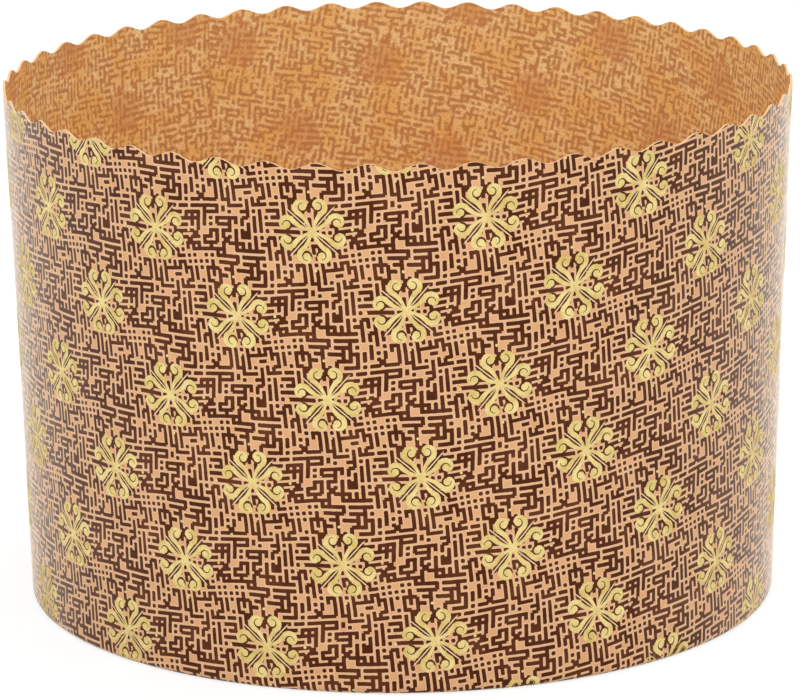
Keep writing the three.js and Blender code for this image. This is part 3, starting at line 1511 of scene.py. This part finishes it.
    def lattice(self, form: "FormTree", shape: BandShape) -> bpy.types.NodeSocket:
        """Lays the ornaments' places over the flat sheet, in rows set half a step over.

        Args:
            form: the tree.
            shape: the band's rules.

        Returns:
            The places as points.
        """
        wiring = form.wiring
        pitch = form.size("Ornament pitch", self.layout.pitch)
        turn = form.size("Lattice turn", self.layout.turn)
        count = self.lattice_points
        grid = wiring.node("GeometryNodeMeshGrid")
        grid.inputs["Vertices X"].default_value = count
        grid.inputs["Vertices Y"].default_value = count
        index = Number(wiring, wiring.node("GeometryNodeInputIndex").outputs[0])
        column = ((index + 0.5) / count).floor()
        row = index - column * count
        i = column - count // 2
        j = row - count // 2
        odd = abs(i + j) * 0.5
        odd = (odd - odd.floor()) > 0.25
        x = (i * turn.cos() - j * turn.sin()) * pitch * 0.5 + self.layout.origin_across
        y = (i * turn.sin() + j * turn.cos()) * pitch * 0.5 + self.layout.origin_up
        around, rest = self.on_sheet(form, shape, x, y)
        margin = form.size("Margin", 8 * MM)
        side = margin / self.sizes.rim_radius
        away = (around < shape.lap_end - side) + (around > shape.lap_end + FULL_TURN + side)
        away = away + (rest < self.sizes.free_edge - margin)
        away = away + (rest > self.sizes.rim_slant + margin)
        moved = wiring.node("GeometryNodeSetPosition")
        wiring.feed(moved.inputs["Geometry"], grid.outputs["Mesh"])
        wiring.feed(moved.inputs["Position"], wiring.vector(x, y))
        kept = wiring.node("GeometryNodeDeleteGeometry", domain="POINT")
        wiring.feed(kept.inputs["Geometry"], moved.outputs[0])
        wiring.feed(kept.inputs["Selection"], odd + away)
        return kept.outputs[0]

    def on_sheet(self, form: "FormTree", shape: BandShape, x: Number, y: Number) -> tuple[Number, Number]:
        """Finds the angle and the place up the band of a place on the flat sheet.

        Args:
            form: the tree.
            shape: the band's rules.
            x: the place across the sheet.
            y: the place up the sheet.

        Returns:
            The angle, and the place up the band before the scallops stretch it.
        """
        far = y + shape.apex
        reach = (x * x + far * far).power(0.5)
        turn = form.wiring.math("ARCTAN2", x, far)
        around = turn / math.sin(self.sizes.tilt) + 1.5 * math.pi
        rest = (reach - shape.apex) / (1 + shape.wave(around) / shape.rim_height)
        return around, rest

    def unrolled(
        self, form: "FormTree", shape: BandShape, geometry: bpy.types.NodeSocket
    ) -> bpy.types.NodeSocket:
        """Lays the flat print out by angle and place up the band, so that it can be trimmed.

        Args:
            form: the tree.
            shape: the band's rules.
            geometry: the flat print.

        Returns:
            The laid-out print.
        """
        wiring = form.wiring
        x, y, z = wiring.parts(wiring.node("GeometryNodeInputPosition").outputs[0])
        around, rest = self.on_sheet(form, shape, x, y)
        moved = wiring.node("GeometryNodeSetPosition")
        wiring.feed(moved.inputs["Geometry"], geometry)
        wiring.feed(moved.inputs["Position"], wiring.vector(around * self.sizes.rim_radius, rest, z))
        return moved.outputs[0]

    def dressed(
        self, form: "FormTree", geometry: bpy.types.NodeSocket,
        finishes: dict[Finish, bpy.types.Material],
    ) -> bpy.types.NodeSocket:
        """Gives the gilt and its rays their finishes.

        Args:
            form: the tree.
            geometry: the print so far.
            finishes: the materials of the print.

        Returns:
            The finished print.
        """
        ray = form.wiring.node("GeometryNodeInputNamedAttribute", data_type="FLOAT")
        ray.inputs["Name"].default_value = "ray"
        chosen = Number(form.wiring, ray.outputs[0]) > 0.5
        result = form.dress(form.realized(geometry), Finish.GILT, finishes[Finish.GILT])
        return form.dress(result, Finish.RAYS, finishes[Finish.RAYS], chosen)

    def trim(self, mesh: bpy.types.Mesh) -> None:
        """Cuts the laid-out print off at the sheet's four edges and closes what is cut.

        Args:
            mesh: the laid-out print.
        """
        sizes = self.sizes
        left = sizes.lap_end * sizes.rim_radius + 0.02 * MM
        right = (sizes.lap_end + FULL_TURN) * sizes.rim_radius - sizes.cut_run - 0.02 * MM
        edges = (
            (Vector((left, 0, 0)), Vector((-1, 0, 0))),
            (Vector((right, 0, 0)), Vector((1, 0, 0))),
            (Vector((0, sizes.free_edge + 0.02 * MM, 0)), Vector((0, -1, 0))),
            (Vector((0, sizes.rim_slant - 0.02 * MM, 0)), Vector((0, 1, 0))),
        )
        work = bmesh.new()
        work.from_mesh(mesh)
        for place, outward in edges:
            everything = work.verts[:] + work.edges[:] + work.faces[:]
            bmesh.ops.bisect_plane(work, geom=everything, dist=1e-9, plane_co=place,
                                   plane_no=outward, clear_outer=True)
            open_edges = [edge for edge in work.edges if edge.is_boundary]
            bmesh.ops.holes_fill(work, edges=open_edges, sides=0)
        bmesh.ops.triangulate(work, faces=[face for face in work.faces if len(face.verts) > 4])
        bmesh.ops.recalc_face_normals(work, faces=work.faces[:])
        work.to_mesh(mesh)
        work.free()

    def wrapped_form(self, finishes: dict[Finish, bpy.types.Material]) -> "FormTree":
        """Builds the node tree that wraps the trimmed print round the band.

        Args:
            finishes: the materials of the print.

        Returns:
            The tree.
        """
        form = FormTree("gilt_wrap")
        wiring = form.wiring
        shape = BandShape(form, self.sizes)
        lean = self.sizes.tilt
        fold_end = form.size("Fold end", self.sizes.fold_end)
        fold_start = form.size("Fold start", self.sizes.fold_start)
        flange = form.size("Flange run", self.sizes.fold_centre - self.sizes.flange_edge)
        x, rest, lift = wiring.parts(wiring.node("GeometryNodeInputPosition").outputs[0])
        around = x / self.sizes.rim_radius
        up = (rest - fold_end).most(0.0)
        inward = (fold_start - rest).most(0.0)
        turn = ((fold_end - rest) / shape.fold).most(0.0) + lean
        turn = turn.least(math.pi / 2)
        out, drop = turn.cos(), turn.sin()
        radius = shape.fold_centre + shape.fold * out + up * math.sin(lean) - inward
        height = shape.fold - shape.fold * drop + up * math.cos(lean)
        push = shape.climb(around) * shape.paper * (out > 0.01)
        radius, height = shape.shaped(radius, height, inward / flange, around, push)
        radius = radius + lift * out
        height = height - lift * drop
        flat = wiring.node("GeometryNodeStoreNamedAttribute", data_type="FLOAT_VECTOR", domain="POINT")
        wiring.feed(flat.inputs["Geometry"], form.source.outputs["Geometry"])
        flat.inputs["Name"].default_value = "flat_place"
        wiring.feed(flat.inputs["Value"], wiring.node("GeometryNodeInputPosition").outputs[0])
        moved = wiring.node("GeometryNodeSetPosition")
        wiring.feed(moved.inputs["Geometry"], flat.outputs[0])
        place = wiring.vector(radius * around.cos(), radius * around.sin(), height)
        wiring.feed(moved.inputs["Position"], place)
        flat_faces = wiring.node("GeometryNodeSetShadeSmooth", domain="FACE")
        wiring.feed(flat_faces.inputs["Geometry"], moved.outputs[0])
        flat_faces.inputs["Shade Smooth"].default_value = False
        form.finish(self.dressed(form, flat_faces.outputs[0], finishes))
        return form

    def lay_bake_map(self, mesh: bpy.types.Mesh) -> None:
        """Lays a flat map over the print, with its sides slanted a little so that they show.

        Args:
            mesh: the finished print, with each point's flat place stored.
        """
        flat = np.empty(len(mesh.vertices) * 3, np.float32)
        mesh.attributes["flat_place"].data.foreach_get("vector", flat)
        flat = flat.reshape(-1, 3)
        corner = np.empty(len(mesh.loops), np.int32)
        mesh.loops.foreach_get("vertex_index", corner)
        low, high = flat.min(axis=0), flat.max(axis=0)
        spread = (flat - low) / (high - low)
        uv = 0.01 + 0.96 * spread[:, :2] + 0.01 * spread[:, 2:3]
        layer = mesh.uv_layers.new(name=BAKE_MAP)
        layer.data.foreach_set("uv", uv[corner].astype(np.float32).ravel())
        mesh.attributes.remove(mesh.attributes["flat_place"])


@dataclass
class BaseBoard:
    """The round board glued inside the turned-in edge."""

    node: str = "base_board"

    def build(self) -> None:
        """Dresses the board, whose shape is already right."""
        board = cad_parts[self.node]
        board.data.materials.clear()
        board.data.materials.append(KraftBoard().material())
        LOG.info("base board dressed")


@dataclass
class Studio:
    """Plain pale floor, soft light and the photograph's camera."""

    picture_width: float = 800.0
    focal_pixels: float = 5454.67
    distance: float = 980.4 * MM
    elevation: float = 0.25391
    aim_height: float = 46.23 * MM
    aim_drop_pixels: float = 15.24
    roll: float = -0.0102
    sensor: float = 36.0
    room_light: float = 0.78
    room_seen: float = 1.0
    lamp_size: float = 0.9
    floor_side: float = 4.0
    floor_drop: float = 0.1 * MM
    floor_tone: float = 0.9
    floor_glow: float = 1.08
    shadow_fade: float = 0.75
    under_cup: float = 66 * MM

    def build(self) -> None:
        """Sets up everything around the cup."""
        self.place_camera()
        self.light()
        self.lay_floor()
        view = bpy.context.scene.view_settings
        view.view_transform = "Standard"

    def place_camera(self) -> None:
        """Places the camera at the photograph's viewing angle."""
        lens = bpy.data.cameras.new("camera")
        lens.sensor_width = self.sensor
        lens.lens = self.focal_pixels * self.sensor / self.picture_width
        lens.clip_start = 0.05
        lens.clip_end = 20
        camera = bpy.data.objects.new("camera", lens)
        bpy.context.scene.collection.objects.link(camera)
        back = self.distance * math.cos(self.elevation)
        up = self.distance * math.sin(self.elevation)
        look_down = self.elevation + math.atan(self.aim_drop_pixels / self.focal_pixels)
        turn = Matrix.Rotation(math.pi / 2 - look_down, 4, "X") @ Matrix.Rotation(self.roll, 4, "Z")
        camera.matrix_world = Matrix.Translation(Vector((0, -back, self.aim_height + up))) @ turn
        bpy.context.scene.camera = camera

    def light(self) -> None:
        """Lights the cup from a white room and two soft lamps."""
        world = bpy.data.worlds.new("white_room")
        bpy.context.scene.world = world
        world.use_nodes = True
        wiring = Wiring(world.node_tree)
        room = world.node_tree.nodes["Background"]
        room.inputs["Color"].default_value = (1, 1, 1, 1)
        path = wiring.node("ShaderNodeLightPath")
        seen = Number(wiring, path.outputs["Is Camera Ray"])
        seen = seen.most(Number(wiring, path.outputs["Is Glossy Ray"]))
        seen = seen.most(Number(wiring, path.outputs["Is Transmission Ray"]))
        wiring.feed(room.inputs["Strength"], wiring.blend(seen, self.room_light, self.room_seen))
        self.add_lamp("front_lamp", (-0.15, -1.1, 1.3), self.lamp_size, 9.0)
        self.add_lamp("top_lamp", (0.35, 0.3, 1.5), self.lamp_size, 6.0)

    def add_lamp(self, name: str, place: tuple[float, float, float], size: float, power: float) -> None:
        """Adds a soft square lamp that faces the cup.

        Args:
            name: the lamp's name.
            place: where it hangs, in metres.
            size: its side, in metres.
            power: its power in watts.
        """
        lamp = bpy.data.lights.new(name, "AREA")
        lamp.size = size
        lamp.energy = power
        made = bpy.data.objects.new(name, lamp)
        bpy.context.scene.collection.objects.link(made)
        aim = Vector((0, 0, self.aim_height)) - Vector(place)
        turn = aim.to_track_quat("-Z", "Y").to_matrix().to_4x4()
        made.matrix_world = Matrix.Translation(Vector(place)) @ turn

    def lay_floor(self) -> None:
        """Lays a white floor that keeps the cup's soft shadow."""
        mesh = bpy.data.meshes.new("floor")
        side = self.floor_side
        corners = [(-side, -side, 0), (side, -side, 0), (side, side, 0), (-side, side, 0)]
        mesh.from_pydata([(x, y, -self.floor_drop) for x, y, _ in corners], [], [(0, 1, 2, 3)])
        floor = bpy.data.objects.new("floor", mesh)
        bpy.context.scene.collection.objects.link(floor)
        made, wiring, shader = new_material("white_floor")
        shader.inputs["Base Color"].default_value = (self.floor_tone,) * 3 + (1,)
        shader.inputs["Roughness"].default_value = 1.0
        shader.inputs["Specular IOR Level"].default_value = 0.0
        x, y, _ = wiring.parts(wiring.node("ShaderNodeTexCoord").outputs["Object"])
        beside = wiring.ramp((x * x + y * y).power(0.5), self.under_cup * 0.95, self.under_cup)
        path = wiring.node("ShaderNodeLightPath")
        seen = Number(wiring, path.outputs["Is Camera Ray"])
        white = wiring.node("ShaderNodeEmission")
        white.inputs["Strength"].default_value = self.floor_glow
        mixed = wiring.node("ShaderNodeMixShader")
        wiring.feed(mixed.inputs[0], seen * beside * self.shadow_fade)
        wiring.feed(mixed.inputs[1], shader.outputs[0])
        wiring.feed(mixed.inputs[2], white.outputs[0])
        wiring.feed(made.node_tree.nodes["Material Output"].inputs["Surface"], mixed.outputs[0])
        mesh.materials.append(made)


def main() -> None:
    """Builds the cup and the studio."""
    logging.basicConfig(level=logging.INFO)
    sizes = BandSizes()
    layout = PrintLayout()
    SideWall(sizes, LabyrinthPrint(layout)).build()
    GiltOrnaments(sizes, layout).build()
    BaseBoard().build()
    Studio().build()


if __name__ == "__main__":
    main()
